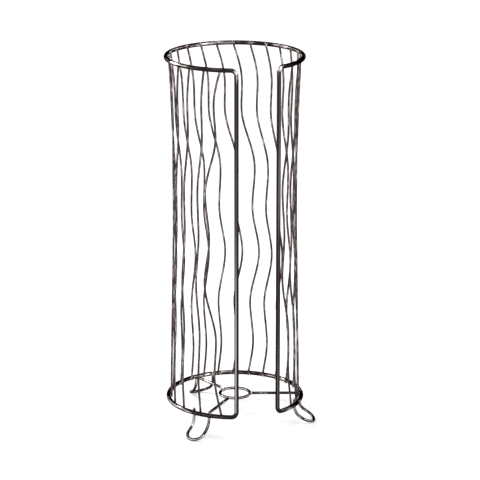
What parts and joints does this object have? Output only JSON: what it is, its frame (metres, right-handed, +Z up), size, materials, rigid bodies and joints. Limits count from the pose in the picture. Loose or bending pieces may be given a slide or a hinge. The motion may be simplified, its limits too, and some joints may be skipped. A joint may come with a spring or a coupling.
{
  "type": "toilet roll holder",
  "caption": "Free-standing cylindrical wire cage for a stack of spare toilet rolls, with wavy wires, a front opening and looped wire feet.",
  "frame": {"origin": "on the cage's axis, at the level of the ground that the three feet stand on", "axes": "+Z up along the cage's axis; -Y out through the middle of the front opening; +X to the right of someone facing the opening"},
  "size_m": [0.1569, 0.1626, 0.413],
  "materials": {
    "frame_chrome": "polished chrome plate",
    "wave_chrome": "polished chrome plate",
    "base_chrome": "chrome plate, duller where hidden"
  },
  "bodies": {
    "root": {"frame_wire": "frame_chrome", "centre_ring": "base_chrome", "foot_wire_1": "base_chrome", "foot_wire_2": "base_chrome", "foot_wire_3": "base_chrome", "wave_wire_01": "wave_chrome", "wave_wire_02": "wave_chrome", "wave_wire_03": "wave_chrome", "wave_wire_04": "wave_chrome", "wave_wire_05": "wave_chrome", "wave_wire_06": "wave_chrome", "wave_wire_07": "wave_chrome", "wave_wire_08": "wave_chrome", "wave_wire_09": "wave_chrome", "wave_wire_10": "wave_chrome", "wave_wire_11": "wave_chrome", "wave_wire_12": "wave_chrome", "wave_wire_13": "wave_chrome", "wave_wire_14": "wave_chrome", "wave_wire_15": "wave_chrome", "wave_wire_16": "wave_chrome", "wave_wire_17": "wave_chrome", "wave_wire_18": "wave_chrome", "wave_wire_19": "wave_chrome", "wave_wire_20": "wave_chrome"}
  },
  "joints": []
}
